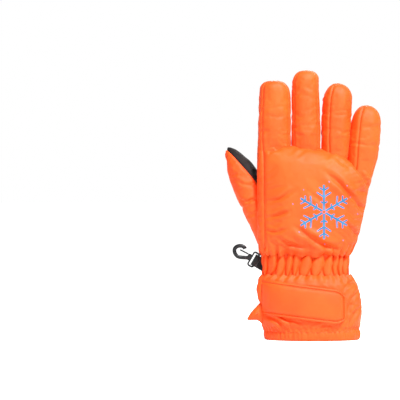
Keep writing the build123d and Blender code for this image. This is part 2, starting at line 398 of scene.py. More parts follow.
def hand_skin():
    """The whole hand, gathered towards the wrist and closed along the sloping knuckle line."""
    columns, rows = 168, 84
    angle = round_angles(columns)
    pleat = ring_noise(angle, 6, 0.7)
    pucker = np.cos(PLEATS * angle + 2.2 * pleat)
    out = []
    for t in np.concatenate([np.linspace(0, 0.93, rows), 1 - 0.07 * np.linspace(1, 0, 14)[1:] ** 2.4]):
        zn = HAND_LOW + (HAND_TOP - HAND_LOW) * t
        left, right = np.interp(zn, HAND_ZN, HAND_LEFT), np.interp(zn, HAND_ZN, HAND_RIGHT)
        front, palm = np.interp(zn, HAND_ZN, HAND_FRONT), np.interp(zn, HAND_ZN, HAND_PALM)
        closing = max(max(1 - t ** 14, 0.0) ** (1 / 2.4), 0.02)
        cx, sy = superellipse(angle, HAND_SQUARE)
        low = np.clip((88 - zn) / 15, 0, 1) ** 1.5
        swell = low * (1.3 * pucker + 2.2 * pleat)
        x = (left + right) / 2 + ((right - left) / 2 + swell) * cx
        depth = (np.where(sy < 0, front, palm) + swell) * closing
        top = np.interp(x, KNUCKLE_X, KNUCKLE_Z)
        z = HAND_LOW + (zn - HAND_LOW) * (top - HAND_LOW) / (HAND_TOP - HAND_LOW)
        z = z - low * (1.5 * pucker + 2.6 * pleat)
        out.append(np.stack([x, depth * sy, z], -1))
    return grid_mesh("hand_back", np.array(out))


# Folds on the back of the hand: path in x and z, depth, width.
BACK_FOLDS = [
    ([(10, 143), (22, 133), (34, 121), (45, 108)], 1.8, 3.6),
    ([(-16, 97), (-3, 88), (10, 81), (24, 76)], 1.9, 3.4),
    ([(34, 151), (42, 141), (50, 127)], 1.7, 2.8),
    ([(-39, 117), (-28, 120), (-14, 128)], 1.0, 2.8),
    ([(-39, 104), (-30, 106), (-20, 110)], 1.2, 2.4),
    ([(-39, 93), (-30, 92), (-22, 95)], 0.9, 2.2),
    ([(-6, 128), (4, 120), (14, 109)], 0.5, 3.0),
    ([(26, 101), (34, 94), (42, 85)], 1.2, 2.8),
    ([(-30, 87), (-20, 82), (-6, 78)], 1.1, 2.4),
    ([(-42, 163), (-36, 160.5), (-27, 162)], 0.9, 2.2),
    ([(16, 157), (24, 151), (34, 144)], 0.6, 2.6),
]
PALM_FOLDS = [
    ([(-22, 150), (-19.5, 128), (-20, 102)], 1.1, 2.6),
    ([(-14, 92), (2, 88), (18, 91)], 0.8, 2.6),
    ([(10, 152), (24, 148), (38, 139)], 0.7, 2.4),
    ([(-34, 150), (-20, 152), (-4, 149)], 0.6, 2.4),
    ([(20, 112), (30, 106), (40, 104)], 0.6, 2.4),
]
FOLD_GAIN = 1.3               # the folds are this much deeper than their lists say
# The two seams across the grip patch, and the outline of the patch, in x and z.
PATCH_SEAMS = [
    [(-37, 141), (-13, 140), (5, 135), (30, 126), (42, 118)],
    [(-33, 131), (-16, 127), (5, 117), (41, 98)],
]
PATCH_EDGE = [(-15, 88), (-12, 83), (38.5, 83.5), (40, 100), (43, 119), (46.5, 143), (45, 147),
              (22, 153.5), (6, 157.5), (-20, 159), (-40, 158), (-50, 150), (-62, 148), (-46, 127.5),
              (-34, 112), (-21, 96)]


def folds(points, paths, facing):
    """Push that makes a list of folds (path, depth, width) where facing is 1, fading out at 0."""
    amount = np.zeros(len(points))
    for path, depth, width in paths:
        distance, where = line_distance(points[:, 0], points[:, 2], path)
        wobble = distance + 0.8 * smooth_noise(points, 8, depth * 10)
        ends = np.sin(pi * np.clip(where, 0.02, 0.98)) ** 0.7
        amount += groove(wobble, depth, width * 0.55, depth * 0.7, width * 1.25) * ends
    return amount * facing


def inside_distance(x, z, corners):
    """Distance to a closed outline in the x, z plane, positive inside it."""
    ring = corners + corners[:1]
    distance, _ = line_distance(x, z, ring)
    inside = np.zeros(len(x), bool)
    for (ax, az), (bx, bz) in zip(ring, ring[1:]):
        crosses = (az > z) != (bz > z)
        inside ^= crosses & (x < (bx - ax) * (z - az) / (bz - az + 1e-12) + ax)
    return np.where(inside, distance, -distance)


def patch_field(points):
    """Positive on the black grip patch of the palm."""
    shape = inside_distance(points[:, 0], points[:, 2], PATCH_EDGE)
    edge = 3.0 - 0.12 * np.clip(-30 - points[:, 0], 0, 16)
    return np.minimum(shape, points[:, 1] - edge)


def hand_detail(points):
    """Folds, seams and unevenness of the hand, as a push in millimetres."""
    x, y, z = points.T
    back, palm = np.clip(-y / 6, 0, 1), np.clip(y / 6, 0, 1)
    amount = FOLD_GAIN * (folds(points, BACK_FOLDS, back) + folds(points, PALM_FOLDS, palm))
    seam, _ = line_distance(x, z, BACK_SEAM)
    amount += groove(seam, 1.25, 0.65, 0.40, 3.0) * back
    amount += groove(patch_field(points), 0.6, 0.8, 0.35, 2.8) * palm
    for path in PATCH_SEAMS:
        distance, _ = line_distance(x, z, curve_points(path, 6))
        inside = np.clip(patch_field(points), 0, 1)
        amount += groove(distance, 0.8, 0.8, 0.30, 3.0) * inside
    amount += 0.55 * smooth_noise(points, 20, 1) + 0.30 * smooth_noise(points, 9, 2)
    return amount + 0.10 * smooth_noise(points, 4, 5)


THUMB_ROOT = np.array([-38.5, 6.0, 84.0])
THUMB_TIP = np.array([-70.6, 14.5, 164.2])
THUMB_AT = [0, 0.15, 0.40, 0.55, 0.70, 0.80, 0.90, 0.95, 0.985, 1.0]     # shares of the way to the tip
THUMB_LEFT = [7.4, 7.9, 8.4, 8.5, 8.1, 7.2, 5.6, 4.5, 3.1, 0.4]
THUMB_RIGHT = [9.0, 11.0, 13.8, 15.4, 15.1, 12.6, 8.2, 5.4, 2.4, 0.3]
THUMB_DEPTH = [8.0, 9.6, 11.6, 12.0, 11.6, 10.6, 8.0, 5.8, 3.2, 0.4]


def thumb_axes():
    """Unit directions along the thumb, across it and through it, and its length."""
    axis = THUMB_TIP - THUMB_ROOT
    reach = np.linalg.norm(axis)
    axis = axis / reach
    across = np.array([1, 0, 0]) - axis * axis[0]
    across /= np.linalg.norm(across)
    return axis, across, np.cross(axis, across), reach


def thumb_skin():
    """The thumb as one closed form along its leaning axis."""
    axis, across, deep, reach = thumb_axes()
    angle = round_angles(72)
    cx, sy = superellipse(angle, THUMB_SQUARE)
    rows = []
    for distance in tip_distances(reach, 18):
        t = 1 - distance / reach
        side = np.where(cx < 0, np.interp(t, THUMB_AT, THUMB_LEFT), np.interp(t, THUMB_AT, THUMB_RIGHT))
        centre = THUMB_ROOT + axis * (reach - distance)
        depth = np.interp(t, THUMB_AT, THUMB_DEPTH)
        rows.append(centre + np.outer(side * cx, across) + np.outer(depth * sy, deep))
    return grid_mesh("thumb_skin", np.array(rows), rows[-1].mean(0) + axis * 0.05)


# The black inner panel of the thumb starts along a line that leans the same way front and back:
# a point on it (x, z) and how fast it rises towards the index finger, at the back and at the palm.
THUMB_LINE_BACK = (-71.0, 163.0, 1.16)
THUMB_LINE_PALM = (-62.0, 148.0, 1.27)
THUMB_Y = (-2.0, 26.0)


def thumb_field(points):
    """Positive on the black inner panel of the thumb, about in millimetres."""
    x, y, z = points.T
    share = np.clip((y - THUMB_Y[0]) / (THUMB_Y[1] - THUMB_Y[0]), 0, 1)
    (xa, za, ma), (xb, zb, mb) = THUMB_LINE_BACK, THUMB_LINE_PALM
    x0, z0, slope = xa + (xb - xa) * share, za + (zb - za) * share, ma + (mb - ma) * share
    return ((z - z0) + (x - x0) * slope) / np.sqrt(1 + slope ** 2)


THUMB_FOLDS = [
    ([(-66, 137), (-58, 132), (-50, 131)], 0.6, 2.0),
    ([(-61, 119), (-54, 118), (-47, 121)], 0.8, 2.2),
    ([(-56, 105), (-50, 107), (-44, 112)], 0.6, 2.0),
]


def thumb_detail(points):
    """Seam, folds and unevenness of the thumb, as a push in millimetres."""
    amount = groove(thumb_field(points), 0.9, 0.8, 0.35, 2.8)
    amount += folds(points, THUMB_FOLDS, np.ones(len(points)))
    return amount + 0.40 * smooth_noise(points, 13, 4) + 0.18 * smooth_noise(points, 6, 7)


CUFF_Z = [7.5, 9, 12, 22, 32, 42, 48, 52, 55]
CUFF_LEFT = [-41.0, -41.2, -42.2, -43.4, -44.4, -45.6, -45.8, -44.6, -41.0]
CUFF_RIGHT = [40.4, 40.9, 41.7, 42.8, 42.9, 41.3, 38.6, 36.2, 32.9]
CUFF_DEPTH = [23.4, 23.6, 24.2, 24.8, 25.0, 24.2, 23.2, 21.6, 18.6]


def cuff_section(z):
    return section(z, CUFF_Z, CUFF_LEFT, CUFF_RIGHT, CUFF_DEPTH)


def cuff_skin():
    """Tube of the cuff between the hem and the wrist."""
    columns = 200
    angle = round_angles(columns)
    rows = []
    for z in np.linspace(CUFF_Z[0], CUFF_Z[-1], 44):
        middle, half, depth = cuff_section(z)
        cx, sy = superellipse(angle, CUFF_SQUARE)
        rows.append(np.stack([middle + half * cx, depth * sy, np.full(columns, z)], -1))
    return grid_mesh("cuff_skin", np.array(rows))


def cuff_front_y(x, z):
    """Depth of the cuff's front face at a place seen from the front."""
    middle, half, depth = cuff_section(z)
    u = np.clip(np.abs((x - middle) / half), 0, 0.999)
    return -depth * (1 - u ** CUFF_SQUARE) ** (1 / CUFF_SQUARE)


CUFF_FOLDS_BACK = [
    ([(-40, 22), (-30, 17), (-22, 10)], 1.3, 2.4),
    ([(-34, 27), (-24, 19), (-8, 15)], 1.0, 2.2),
    ([(2, 11), (10, 14), (20, 12)], 0.5, 1.8),
    ([(41, 44), (33, 36), (29, 24)], 0.9, 2.6),
    ([(41, 30), (35, 22), (31, 13)], 0.7, 2.4),
    ([(36, 52), (30, 47), (26, 44)], 0.7, 2.0),
]
CUFF_FOLDS_PALM = [
    ([(-36, 46), (-24, 38), (-14, 30)], 1.6, 4.6),
    ([(-8, 47), (-13, 38), (-22, 30)], 1.1, 4.0),
    ([(4, 38), (12, 28), (22, 20)], 1.3, 4.6),
    ([(34, 46), (27, 38), (14, 33)], 0.9, 4.0),
    ([(-34, 22), (-24, 26), (-14, 22)], 1.0, 3.6),
]


def cuff_detail(points):
    """Folds, the gathers at both ends and unevenness of the cuff, as a push in millimetres."""
    x, y, z = points.T
    back, palm = np.clip(-y / 6, 0, 1), np.clip(y / 6, 0, 1)
    amount = FOLD_GAIN * (folds(points, CUFF_FOLDS_BACK, back) + folds(points, CUFF_FOLDS_PALM, palm))
    turn = np.arctan2(y * 1.7, x)
    top = np.clip((z - 44) / 10, 0, 1) ** 1.5
    amount += top * (0.9 * np.cos(PLEATS * turn + 3 * smooth_noise(points, 24, 9)) + 0.4)
    low = np.clip((15 - z) / 6, 0, 1)
    amount += low * (0.35 * np.cos(52 * turn + 5 * smooth_noise(points, 16, 2)) - 0.2)
    amount += 0.75 * smooth_noise(points, 22, 6) + 0.35 * smooth_noise(points, 9, 8)
    return amount + 0.12 * smooth_noise(points, 4, 11)


# ---------------- wrist, hem, strap and small pieces ----------------
WRIST_Z = [50, 56, 62, 70, 79, 82]
WRIST_LEFT = [-43.0, -42.6, -41.6, -42.2, -43.6, -43.6]
WRIST_RIGHT = [34.6, 32.6, 31.0, 31.4, 33.2, 33.4]
WRIST_DEPTH = [19.6, 18.0, 16.8, 16.8, 17.4, 17.4]


def wrist_skin():
    """Gathered wrist: lens-shaped upright puckers between two lines of elastic."""
    columns, rows = 540, 46
    angle = round_angles(columns)
    wander = ring_noise(angle, 3, 1.7)
    size = ring_noise(angle, 5, 8.1)
    lean = np.sign(np.sin(angle) + 0.35 * np.cos(3 * angle))
    out = []
    for v in np.linspace(0, 1, rows):
        z = WRIST_LOW + (WRIST_TOP - WRIST_LOW) * v
        middle, half, depth = section(z, WRIST_Z, WRIST_LEFT, WRIST_RIGHT, WRIST_DEPTH)
        turn = PLEATS * angle / (2 * pi) + 0.6 * wander + 0.9 * (v - 0.5) * lean
        across = np.abs((turn % 1) - 0.5) * 2
        mid = np.array([noise.noise(Vector((float(np.floor(t)) * 1.9, 4.4, 0))) for t in turn])
        lens = np.clip(np.sin(pi * np.clip((v - 0.05 + 0.14 * mid) / 0.86, 0, 1)), 0, 1) ** 1.15
        ridge = np.sqrt(np.clip(1 - (across / (0.10 + 0.94 * lens)) ** 2, 0, 1))
        swell = (3.7 + 1.1 * size) * ridge * (0.35 + 0.65 * lens) - 2.3
        cx, sy = superellipse(angle, CUFF_SQUARE)
        ring = np.stack([cx * half, sy * depth], -1)
        outward = np.stack([cx * depth, sy * half], -1)
        outward /= np.linalg.norm(outward, axis=1)[:, None]
        ring = ring + outward * swell[:, None]
        wave = 2.2 * (1 - v) ** 3 * (ridge - 0.5)
        out.append(np.stack([middle + ring[:, 0], ring[:, 1], z - wave], -1))
    return grid_mesh("wrist_gathers", np.array(out))


def hem_skin():
    """Turned-up hem: a soft roll of uneven thickness, gathered a little by the stitches along its top."""
    columns, profile_rows = 420, 26
    angle = round_angles(columns)
    cx, sy = superellipse(angle, CUFF_SQUARE)
    middle, half, depth = cuff_section(9)
    slow = ring_noise(angle, 3, 2.2)
    gather = ring_noise(angle, 20, 5.0)
    lean = ring_noise(angle, 8, 9.0)
    out = []
    for turn in np.linspace(0, 2 * pi, profile_rows, endpoint=False):
        z = 4.4 - 4.4 * cos(turn) + 0.9 * lean * (1 - cos(turn)) / 2
        bulge = (1.5 if sin(turn) > 0 else 1.1) * sin(turn)
        pinch = 0.5 + 0.5 * cos(turn - 0.75 * pi)
        swell = bulge - 1.5 + 0.5 * slow + 0.9 * gather * pinch + 0.6 * lean * sin(turn)
        x = middle + 0.8 + (half + swell) * cx
        out.append(np.stack([x, (depth + swell) * sy, np.maximum(z, 0.0)], -1))
    return close_loop(grid_mesh("hem_roll", np.array(out)), profile_rows, columns)


def close_loop(piece, rows, columns):
    """Joins the last ring of a grid to its first, so that the strip becomes a closed roll."""
    mesh = bmesh.new()
    mesh.from_mesh(piece.data)
    mesh.verts.ensure_lookup_table()
    last = (rows - 1) * columns
    for c in range(columns):
        n = (c + 1) % columns
        mesh.faces.new([mesh.verts[last + c], mesh.verts[last + n], mesh.verts[n], mesh.verts[c]])
    mesh.to_mesh(piece.data)
    mesh.free()
    piece.data.shade_smooth()
    return piece


STRAP_LEFT, STRAP_RIGHT = -42.5, 28.0
STRAP_LOW = (22.6, 13.6)     # height of the lower edge at the root and at the free end
STRAP_HIGH = (52.0, 42.6)
STRAP_CORNER = 10.0
STRAP_STITCH = 2.3           # stitch line in from the edge
STRAP_HALF = 1.2             # half its thickness


def strap_edges(x):
    t = (x - STRAP_LEFT) / (STRAP_RIGHT - STRAP_LEFT)
    low = STRAP_LOW[0] + (STRAP_LOW[1] - STRAP_LOW[0]) * t
    high = STRAP_HIGH[0] + (STRAP_HIGH[1] - STRAP_HIGH[0]) * t
    past = np.clip((x - (STRAP_RIGHT - STRAP_CORNER)) / STRAP_CORNER, 0, 1)
    pull = STRAP_CORNER * (1 - np.sqrt(np.clip(1 - past ** 2, 0, 1)))
    return low + pull, high - pull


def strap_stitch_line():
    """Along the top edge to the free end and back along the bottom edge, in x and z."""
    xs = np.linspace(STRAP_LEFT + 2, STRAP_RIGHT - STRAP_STITCH, 30)
    low, high = strap_edges(xs)
    there = [(x, z - STRAP_STITCH) for x, z in zip(xs, high)]
    back = [(x, z + STRAP_STITCH) for x, z in zip(xs, low)]
    return there + back[::-1]


def strap_lift(x):
    """How far the strap's back stands off the cuff."""
    return np.interp(x, [STRAP_LEFT, STRAP_LEFT + 5, -28, STRAP_RIGHT], [0.3, 0.9, 1.3, 1.4])


def strap_skin():
    """Padded strap: a closed pillow with a flat stitched border."""
    columns, rows = 130, 60
    xs = STRAP_LEFT + (STRAP_RIGHT - STRAP_LEFT) * np.sin(np.linspace(0, pi / 2, columns)) ** 0.9
    faces, verts = [], []
    for side in (1, -1):
        for v in np.linspace(0, 1, rows):
            low, high = strap_edges(xs)
            s = 0.5 - 0.5 * cos(pi * v)
            z = low + (high - low) * s
            edge = np.minimum.reduce([z - low, high - z, (STRAP_RIGHT - xs) * 0.95 + 0.001])
            edge = np.maximum(edge, 0)
            swell = 1.15 * np.sqrt(np.clip(1 - (1 - np.clip(edge / 1.4, 0, 1)) ** 2, 0, 1))
            if side > 0:
                swell = swell + 1.1 * (1 - np.exp(-np.clip(edge - STRAP_STITCH, 0, 50) / 2.2))
                swell = swell - 0.95 * bell(edge - STRAP_STITCH, 0.60)
            front = np.array([cuff_front_y(a, b) for a, b in zip(xs, z)])
            y = front - strap_lift(xs) - STRAP_HALF - side * swell
            verts.append(np.stack([xs, y, z], -1))
    verts = np.array(verts).reshape(-1, 3)
    for layer in range(2):
        base = layer * rows * columns
        for r in range(rows - 1):
            for c in range(columns - 1):
                a = base + r * columns + c
                quad = (a, a + 1, a + columns + 1, a + columns)
                faces.append(quad if layer == 0 else quad[::-1])
    piece = new_piece("strap_pad", place(verts), faces)
    return weld(piece, 0.00008)


def weld(piece, distance):
    """Joins points nearer than distance to each other, and drops the faces that this folds flat."""
    mesh = bmesh.new()
    mesh.from_mesh(piece.data)
    bmesh.ops.remove_doubles(mesh, verts=mesh.verts, dist=distance)
    bmesh.ops.dissolve_degenerate(mesh, edges=mesh.edges, dist=distance / 2)
    twins = {}
    for face in mesh.faces:
        twins.setdefault(frozenset(vert.index for vert in face.verts), []).append(face)
    folded = [face for group in twins.values() if len(group) > 1 for face in group]
    bmesh.ops.delete(mesh, geom=folded, context="FACES")
    mesh.to_mesh(piece.data)
    mesh.free()
    piece.data.shade_smooth()
    return piece


# Rings of one stitch: share of its length, share of its radius, and height above the cloth.
STITCH_RINGS = ((0, 0.35, -0.12), (0.2, 0.85, 0.1), (0.5, 1, 0.16), (0.8, 0.85, 0.1), (1, 0.35, -0.12))


def stitch_row(name, points, outward, length=2.2, gap=1.1, radius=0.22):
    """A row of thread stitches lying along a line of points in millimetres."""
    pts = np.array(points, float)
    steps = np.linalg.norm(np.diff(pts, axis=0), axis=1)
    along = np.concatenate([[0], np.cumsum(steps)])
    verts, faces = [], []
    at = 0.0
    while at + length < along[-1]:
        a = np.array([np.interp(at, along, pts[:, i]) for i in range(3)])
        b = np.array([np.interp(at + length, along, pts[:, i]) for i in range(3)])
        out = np.array([np.interp(at + length / 2, along, np.array(outward)[:, i]) for i in range(3)])
        out /= np.linalg.norm(out)
        run = (b - a) / np.linalg.norm(b - a)
        side = np.cross(out, run)
        first = len(verts)
        for t, size, lift in STITCH_RINGS:
            centre = a + (b - a) * t + out * lift
            for k in range(6):
                turn = k * pi / 3
                verts.append(centre + (side * cos(turn) + out * sin(turn) * 0.7) * radius * size)
        for ring in range(4):
            for k in range(6):
                n = (k + 1) % 6
                p = first + ring * 6
                faces.append((p + k, p + n, p + 6 + n, p + 6 + k))
        faces.append(tuple(first + k for k in reversed(range(6))))
        faces.append(tuple(first + 24 + k for k in range(6)))
        at += length + gap
    return new_piece(name, place(verts), faces)


def surface_tree(*pieces):
    """Ray target made of several pieces, in the frame's metres."""
    verts, faces = [], []
    for piece in pieces:
        base = len(verts)
        verts += [v.co.copy() for v in piece.data.vertices]
        faces += [[i + base for i in p.vertices] for p in piece.data.polygons]
    return BVHTree.FromPolygons(verts, faces)


def drop_on(tree, x, z, side, lift=0.0):
    """Point on the surface seen from the back (side -1) or the palm (side 1), and its normal."""
    origin = Vector(place([x, side * 60.0, z]))
    hit, normal, _, _ = tree.ray_cast(origin, Vector((0, -side, 0)))
    if hit is None:
        return None, None
    normal = np.array(normal) * (1 if normal.y * side > 0 else -1)
    return layout(hit) + normal * lift, normal


def stitches_on(name, tree, path, side, length=2.2):
    """Thread stitches along a path in x and z, laid on the surface seen from the back or the palm."""
    points, outward = [], []
    for x, z in curve_points(path, 14):
        point, normal = drop_on(tree, x, z, side, 0.05)
        if point is not None:
            points.append(point)
            outward.append(normal)
    return stitch_row(name, points, outward, length)


def cut_along(piece, field, name):
    """Cuts a piece along the zero line of a field of its points; the positive part becomes a new piece."""
    mesh = bmesh.new()
    mesh.from_mesh(piece.data)
    mesh.verts.ensure_lookup_table()
    values = {v: f for v, f in zip(mesh.verts, field)}
    fresh = []
    for edge in list(mesh.edges):
        a, b = edge.verts
        if values[a] * values[b] < 0:
            share = values[a] / (values[a] - values[b])
            made = bmesh.utils.edge_split(edge, a, share)[1]
            values[made] = 0.0
            fresh.append(made)
    bmesh.ops.connect_verts(mesh, verts=fresh)
    inner = {f for f in mesh.faces if sum(values[v] for v in f.verts) > 0}
    keep = mesh.copy()
    keep.faces.ensure_lookup_table()
    mesh.faces.ensure_lookup_table()
    mesh.faces.index_update()
    marked = {f.index for f in inner}
    bmesh.ops.delete(keep, geom=[f for i, f in enumerate(keep.faces) if i not in marked], context="FACES")
    bmesh.ops.delete(mesh, geom=list(inner), context="FACES")
    part = new_object(name, bpy.data.meshes.new(name))
    keep.to_mesh(part.data)
    mesh.to_mesh(piece.data)
    keep.free()
    mesh.free()
    for each in (piece, part):
        each.data.shade_smooth()
    return part


def pillow(name, outline, y, thickness, rings=12, seed=1):
    """Small stuffed fold of cloth: a closed outline in x and z, swollen on both sides."""
    edge = np.array(curve_points(outline + outline[:1], 10)[:-1])
    middle = edge.mean(0)
    front, back = [], []
    for share in np.cos(np.linspace(0, pi / 2 * 0.97, rings)):
        swell = thickness * np.sqrt(1 - share ** 2)
        at = middle + (edge - middle) * share
        front.append(np.stack([at[:, 0], np.full(len(at), y - swell), at[:, 1]], -1))
        back.append(np.stack([at[:, 0], np.full(len(at), y + swell), at[:, 1]], -1))
    piece = grid_mesh(name, np.array(front[::-1] + back[1:]))
    points = read(piece)
    push(piece, 0.7 * smooth_noise(points, 7, seed) + 0.3 * smooth_noise(points, 3.5, seed + 1))
    return subdivide(piece)


LINING_Z = [3.0, 12, 30, 44, 54, 66, 78, 92, 135, 158]
LINING_INSET = [3.4, 4.4, 4.6, 4.6, 4.2, 3.6, 4.0, 5.0, 5.2, 5.0]


def lining_skin():
    """Fleece lining seen through the cuff: one tube from the hem up into the hand."""
    columns, rows = 160, 110
    angle = round_angles(columns)
    cx, sy = superellipse(angle, THUMB_SQUARE)
    out = []
    for z in np.linspace(3.0, 158.0, rows):
        inset = np.interp(z, LINING_Z, LINING_INSET)
        if z < 52:
            middle, half, depth = cuff_section(max(z, 9))
        elif z < 80:
            middle, half, depth = section(z, WRIST_Z, WRIST_LEFT, WRIST_RIGHT, WRIST_DEPTH)
        else:
            middle, half, depth = section(z, HAND_ZN, HAND_LEFT, HAND_RIGHT, HAND_PALM)
        closing = max(1 - ((z - 3) / 156) ** 16, 0.01) ** 0.5
        x, y = middle + (half - inset) * cx * closing, (depth - inset) * sy * closing
        out.append(np.stack([x, y, np.full(columns, z)], -1))
    out = np.array(out)
    for _ in range(2):
        out[1:-1] = (out[:-2] + 2 * out[1:-1] + out[2:]) / 4
    piece = grid_mesh("fleece_lining", out)
    points = read(piece)
    push(piece, 0.6 * smooth_noise(points, 12, 5) + 0.35 * smooth_noise(points, 5, 6))
    return piece


def tape_skin(name, x_span, z_span, lift, thickness=0.8):
    """Flat tape that follows the curve of the cuff's back."""
    columns, rows = 60, 24
    xs, zs = np.linspace(*x_span, columns), np.linspace(*z_span, rows)
    x, z = np.meshgrid(xs, zs)
    slope = (STRAP_LOW[1] - STRAP_LOW[0]) / (STRAP_RIGHT - STRAP_LEFT)
    z = z + slope * (x - STRAP_LEFT)
    y = np.array([cuff_front_y(a, b) for a, b in zip(x.ravel(), z.ravel())]) - lift
    verts = np.stack([x.ravel(), y, z.ravel()], -1)
    faces = [(r * columns + c, r * columns + c + 1, (r + 1) * columns + c + 1, (r + 1) * columns + c)
             for r in range(rows - 1) for c in range(columns - 1)]
    piece = new_piece(name, place(verts), faces)
    return apply_modifier(piece, "SOLIDIFY", thickness=thickness * MM, offset=0.0)


# ---------------- the print ----------------
PRINT_MIDDLE = (9.0, 109.0)
PRINT_ARM = 23.0


def snowflake_strips():
    """Lines (start, end, half width) of a six-armed snowflake with branches, and dots round it."""
    strips = []
    cx, cz = PRINT_MIDDLE
    for k in range(6):
        turn = k * pi / 3 + pi / 6
        arm = np.array([cos(turn), sin(turn)])
        strips.append(((cx, cz) + arm * 1.2, (cx, cz) + arm * PRINT_ARM, 0.95))
        for at, reach in ((0.30, 3.6), (0.54, 7.4), (0.78, 5.0)):
            foot = (cx, cz) + arm * PRINT_ARM * at
            for side in (-1, 1):
                lean = turn + side * pi / 3.2
                strips.append((foot, foot + reach * np.array([cos(lean), sin(lean)]), 0.75))
    for k in range(9):
        turn = k * 2.4 + 0.5
        spot = (cx, cz) + np.array([cos(turn), sin(turn)]) * (25.5 + 1.8 * (k % 3))
        strips.append((spot, spot + np.array([0.9, 0.3]), 0.70 + 0.12 * (k % 2)))
    return strips


def print_skin(tree):
    """Thin ink laid on the back of the hand, each strip rounded at its ends."""
    verts, faces = [], []
    for start, end, half in snowflake_strips():
        start, end = np.array(start), np.array(end)
        span = np.linalg.norm(end - start)
        run = (end - start) / span
        side = np.array([-run[1], run[0]])
        steps = max(int(span / 0.5), 3)
        first = len(verts)
        for i in range(steps + 1):
            t = i / steps
            wide = half * max(1 - abs(2 * t - 1) ** (span / half * 2), 0.15) ** 0.5
            for across in (-1, -0.33, 0.33, 1):
                spot = start + run * span * t + side * across * wide
                point, _ = drop_on(tree, spot[0], spot[1], -1, 0.10 if abs(across) < 0.9 else 0.05)
                verts.append(point)
        for i in range(steps):
            for j in range(3):
                a = first + i * 4 + j
                faces.append((a, a + 4, a + 5, a + 1))
    return new_piece("snowflake_print", place(verts), faces)


# ---------------- camera, light and floor ----------------
FRAME_WIDTH = 340.0          # what the camera's frame takes in at the glove
FRAME_MIDDLE = [-95.2, -8.0, 119.0]
SEEN_WHITE, WORLD_LIGHT = 1.0, 0.38        # the world as the camera sees it, and as it lights
FLOOR_HALF = 60.0            # half the floor's width, in metres
FLOOR_GLOW = 0.75            # light that the floor adds where the camera sees it


def make_camera():
    """Long lens, square to the back of the glove, framed as the photograph is."""
    data = bpy.data.cameras.new("camera")
    data.sensor_width = 36.0
    data.lens = 150.0
    distance = data.lens / data.sensor_width * FRAME_WIDTH * MM
    camera = new_object("camera", data)
    camera.location = place(FRAME_MIDDLE) + np.array([0, -distance, 0])
    camera.rotation_euler = (pi / 2, 0, 0)
    bpy.context.scene.camera = camera


def area_light(name, location, aim, size, power):
    data = bpy.data.lights.new(name, "AREA")
    data.shape = "DISK"
    data.size = size
    data.energy = power
    light = new_object(name, data)
    light.location = location
    light.rotation_euler = (Vector(aim) - Vector(location)).to_track_quat("-Z", "Y").to_euler()


def make_lights():
    """Key light above and a little to the right, with a soft fill and a rim light behind."""
    middle = place([0, 0, 110])
    area_light("key", middle + np.array([0.45, -0.80, 1.05]), middle, 0.34, 38)
    area_light("fill", middle + np.array([-0.6, -1.3, 0.3]), middle, 1.2, 4.5)
    area_light("rim", middle + np.array([0.3, 1.1, 0.7]), middle, 0.9, 9)


def make_world():
    """White where the camera sees it, dimmer where it lights the glove."""
    world = bpy.data.worlds.new("studio")
    world.use_nodes = True
    tree = world.node_tree
    seen, lit = tree.nodes["Background"], tree.nodes.new("ShaderNodeBackground")
    seen.inputs["Color"].default_value = (1, 1, 1, 1)
    seen.inputs["Strength"].default_value = SEEN_WHITE
    lit.inputs["Color"].default_value = (1, 1, 1, 1)
    lit.inputs["Strength"].default_value = WORLD_LIGHT
    path, mix = tree.nodes.new("ShaderNodeLightPath"), tree.nodes.new("ShaderNodeMixShader")
    tree.links.new(path.outputs["Is Camera Ray"], mix.inputs["Fac"])
    tree.links.new(lit.outputs["Background"], mix.inputs[1])
    tree.links.new(seen.outputs["Background"], mix.inputs[2])
    tree.links.new(mix.outputs["Shader"], tree.nodes["World Output"].inputs["Surface"])
    bpy.context.scene.world = world


def make_floor():
    """Pale floor that the camera sees almost white."""
    corners = [(-FLOOR_HALF, -FLOOR_HALF, 0), (FLOOR_HALF, -FLOOR_HALF, 0),
               (FLOOR_HALF, FLOOR_HALF, 0), (-FLOOR_HALF, FLOOR_HALF, 0)]
    mesh = bpy.data.meshes.new("floor")
    mesh.from_pydata(corners, [], [(0, 1, 2, 3)])
    floor = new_object("floor", mesh)
    material, shader = new_material("floor", (0.93, 0.93, 0.93), 0.9)
    seen_directly = material.node_tree.nodes.new("ShaderNodeLightPath")
    glow = material.node_tree.nodes.new("ShaderNodeMath")
    glow.operation = "MULTIPLY"
    glow.inputs[1].default_value = FLOOR_GLOW
    material.node_tree.links.new(seen_directly.outputs["Is Camera Ray"], glow.inputs[0])
    material.node_tree.links.new(glow.outputs["Value"], shader.inputs["Emission Strength"])
    shader.inputs["Emission Color"].default_value = (1, 1, 1, 1)
    mesh.materials.append(material)


# ---------------- materials ----------------
def new_material(name, colour, roughness):
    material = bpy.data.materials.new(name)
    material.use_nodes = True
    shader = material.node_tree.nodes["Principled BSDF"]
    shader.inputs["Base Color"].default_value = (*colour, 1)
    shader.inputs["Roughness"].default_value = roughness
    return material, shader


def texture(tree, kind, coords, **inputs):
    made = tree.nodes.new(f"ShaderNodeTex{kind}")
    for key, value in inputs.items():
        made.inputs[key].default_value = value
    tree.links.new(coords.outputs["Object"], made.inputs["Vector"])
    return made


def bumps(tree, shader, layers):
    """Layers of bump (height output, strength, distance in metres), laid one over another."""
    under = None
    for height, strength, distance in layers:
        bump = tree.nodes.new("ShaderNodeBump")
        bump.inputs["Strength"].default_value = strength
        bump.inputs["Distance"].default_value = distance
        tree.links.new(height, bump.inputs["Height"])
        if under is not None:
            tree.links.new(under.outputs["Normal"], bump.inputs["Normal"])
        under = bump
    tree.links.new(under.outputs["Normal"], shader.inputs["Normal"])


